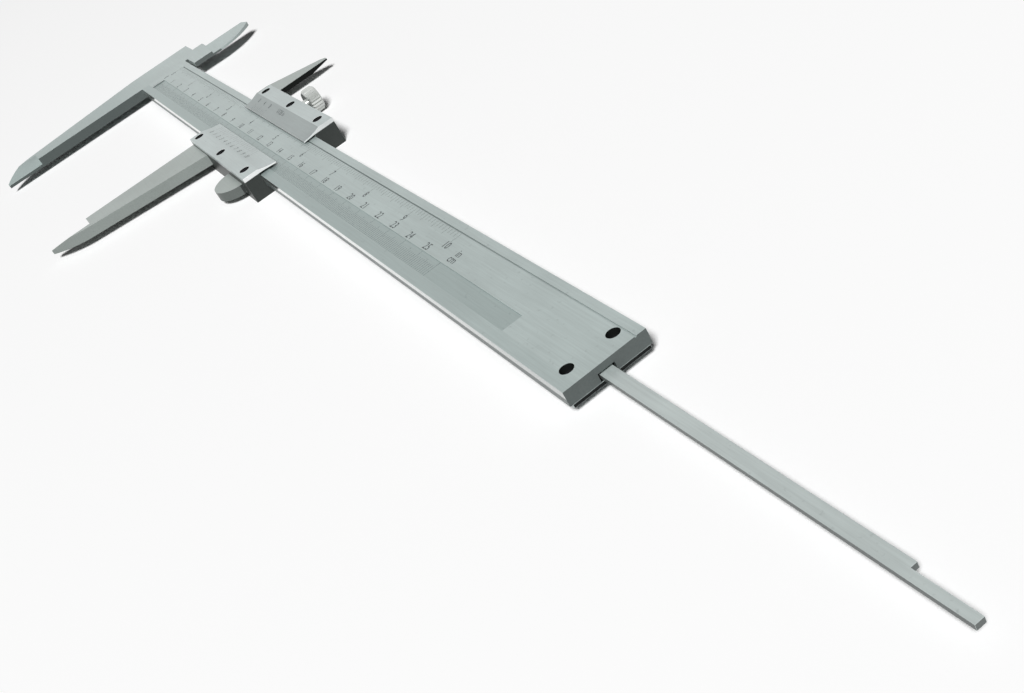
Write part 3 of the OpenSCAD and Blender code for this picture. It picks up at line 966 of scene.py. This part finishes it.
class CALIPER_OT_stage(bpy.types.Operator):
    """Plain pale floor, soft light and the camera"""
    bl_idname = "caliper.stage"
    bl_label = "Stage"

    def execute(self, context):
        scene = context.scene
        stage = scene.caliper_stage
        self.floor(stage)
        self.sky(scene, stage)
        self.lamp(stage)
        self.camera(scene, stage)
        scene.view_settings.view_transform = "Standard"
        return {"FINISHED"}

    def seen(self, tree, x, y):
        """1 for what the camera sees, straight, mirrored or through glass, and 0 for plain light."""
        path = put(tree, "ShaderNodeLightPath", (x, y)).outputs
        mirrored = combined(tree, (x + 200, y), "MAXIMUM",
                            path["Is Camera Ray"], path["Is Glossy Ray"])
        return combined(tree, (x + 400, y), "MAXIMUM", mirrored, path["Is Transmission Ray"])

    def floor(self, stage):
        """A pale round floor under the caliper, which throws back less light than it shows."""
        clear_selection()
        bpy.ops.mesh.primitive_circle_add(vertices=96, radius=FLOOR_RADIUS, fill_type="NGON",
                                          location=(FLOOR_CENTRE_X, 0.0, CAD_BOX[0].z))
        ground = bpy.context.active_object
        rename(ground, "floor")
        material = fresh_material("pale_floor")
        tree = material.node_tree
        coords = put(tree, "ShaderNodeTexCoord", (-900, 0)).outputs["Object"]
        soft = noise(tree, (-700, 0), coords, 3.0, 2.0)
        base = mixed(tree, (-400, 0), soft,
                     rgba(stage.floor_colour, 0.995), rgba(stage.floor_colour, 1.005))
        base = mixed(tree, (-250, 0), self.seen(tree, -900, 400), rgba(stage.bounce_colour), base)
        shader = put(tree, "ShaderNodeBsdfDiffuse", (-100, 0), {"Roughness": 0.0})
        tree.links.new(base, shader.inputs["Color"])
        output(tree, "ShaderNodeOutputMaterial", (200, 0), shader)
        ground.data.materials.append(material)

    def sky(self, scene, stage):
        """White surroundings that light the caliper only faintly."""
        world = bpy.data.worlds.new("studio")
        world.use_nodes = True
        tree = world.node_tree
        tree.nodes.clear()
        white = (1.0, 1.0, 1.0, 1.0)
        mix = put(tree, "ShaderNodeMixShader", (100, 0))
        tree.links.new(self.seen(tree, -900, 200), mix.inputs[0])
        for key, strength in ((1, stage.sky_strength), (2, 1.0)):
            light = put(tree, "ShaderNodeBackground", (-200, 200 - 200 * key),
                        {"Color": white, "Strength": strength})
            tree.links.new(light.outputs[0], mix.inputs[key])
        output(tree, "ShaderNodeOutputWorld", (300, 0), mix)
        scene.world = world

    def lamp(self, stage):
        """A large round lamp that shines on the middle of the caliper."""
        low, high = CAD_BOX
        aim = Vector(((low.x + high.x) / 2, (low.y + high.y) / 2, 0.0))
        clear_selection()
        bpy.ops.object.light_add(type="AREA", location=LAMP_PLACE)
        lamp = bpy.context.active_object
        rename(lamp, "key_light")
        lamp.data.shape = "DISK"
        lamp.data.size = LAMP_SIZE
        lamp.data.energy = stage.key_power
        lamp.rotation_euler = (aim - Vector(LAMP_PLACE)).to_track_quat("-Z", "Y").to_euler()

    def camera(self, scene, stage):
        """The photograph's view from past the rod's tip, over the beam's near side."""
        clear_selection()
        bpy.ops.object.camera_add()
        camera = bpy.context.active_object
        rename(camera, "camera")
        ahead = Vector(CAMERA_AHEAD).normalized()
        right = ahead.cross(Vector(CAMERA_ABOVE)).normalized()
        above = right.cross(ahead)
        turn = Matrix((right, above, -ahead)).transposed().to_4x4()
        camera.matrix_world = Matrix.Translation(CAMERA_PLACE) @ turn
        camera.data.sensor_width = SENSOR_WIDTH
        camera.data.sensor_fit = "HORIZONTAL"
        camera.data.lens = stage.lens
        camera.data.clip_start = 0.01
        scene.camera = camera


class CALIPER_PT_panel(bpy.types.Panel):
    """Lists the caliper's pieces and their settings"""
    bl_idname = "CALIPER_PT_panel"
    bl_label = "Caliper"
    bl_space_type = "VIEW_3D"
    bl_region_type = "UI"
    bl_category = "Caliper"

    def draw(self, context):
        layout = self.layout
        for group in ("caliper_finishes", "caliper_scales", "caliper_stage"):
            settings = getattr(context.scene, group)
            box = layout.box()
            for key in settings.bl_rna.properties.keys():
                if key not in ("rna_type", "name"):
                    box.prop(settings, key)
        for operator in OPERATORS:
            layout.operator(operator.bl_idname)


GROUPS = (CaliperFinishes, CaliperScales, CaliperStage)
OPERATORS = (
    CALIPER_OT_beam,
    CALIPER_OT_end_stop,
    CALIPER_OT_slider,
    CALIPER_OT_plates,
    CALIPER_OT_plate_screws,
    CALIPER_OT_gib,
    CALIPER_OT_lock_screw,
    CALIPER_OT_depth_rod,
    CALIPER_OT_beam_scales,
    CALIPER_OT_vernier_scales,
    CALIPER_OT_stage,
)


def register():
    for kind in (*GROUPS, *OPERATORS, CALIPER_PT_panel):
        bpy.utils.register_class(kind)
    bpy.types.Scene.caliper_finishes = PointerProperty(type=CaliperFinishes)
    bpy.types.Scene.caliper_scales = PointerProperty(type=CaliperScales)
    bpy.types.Scene.caliper_stage = PointerProperty(type=CaliperStage)


def unregister():
    del bpy.types.Scene.caliper_stage
    del bpy.types.Scene.caliper_scales
    del bpy.types.Scene.caliper_finishes
    for kind in reversed((*GROUPS, *OPERATORS, CALIPER_PT_panel)):
        bpy.utils.unregister_class(kind)


def main():
    register()
    bpy.ops.caliper.beam()
    bpy.ops.caliper.end_stop()
    bpy.ops.caliper.slider()
    bpy.ops.caliper.plates()
    bpy.ops.caliper.plate_screws()
    bpy.ops.caliper.gib()
    bpy.ops.caliper.lock_screw()
    bpy.ops.caliper.depth_rod()
    bpy.ops.caliper.beam_scales()
    bpy.ops.caliper.vernier_scales()
    bpy.ops.caliper.stage()
    clear_selection()


if __name__ == "__main__":
    main()
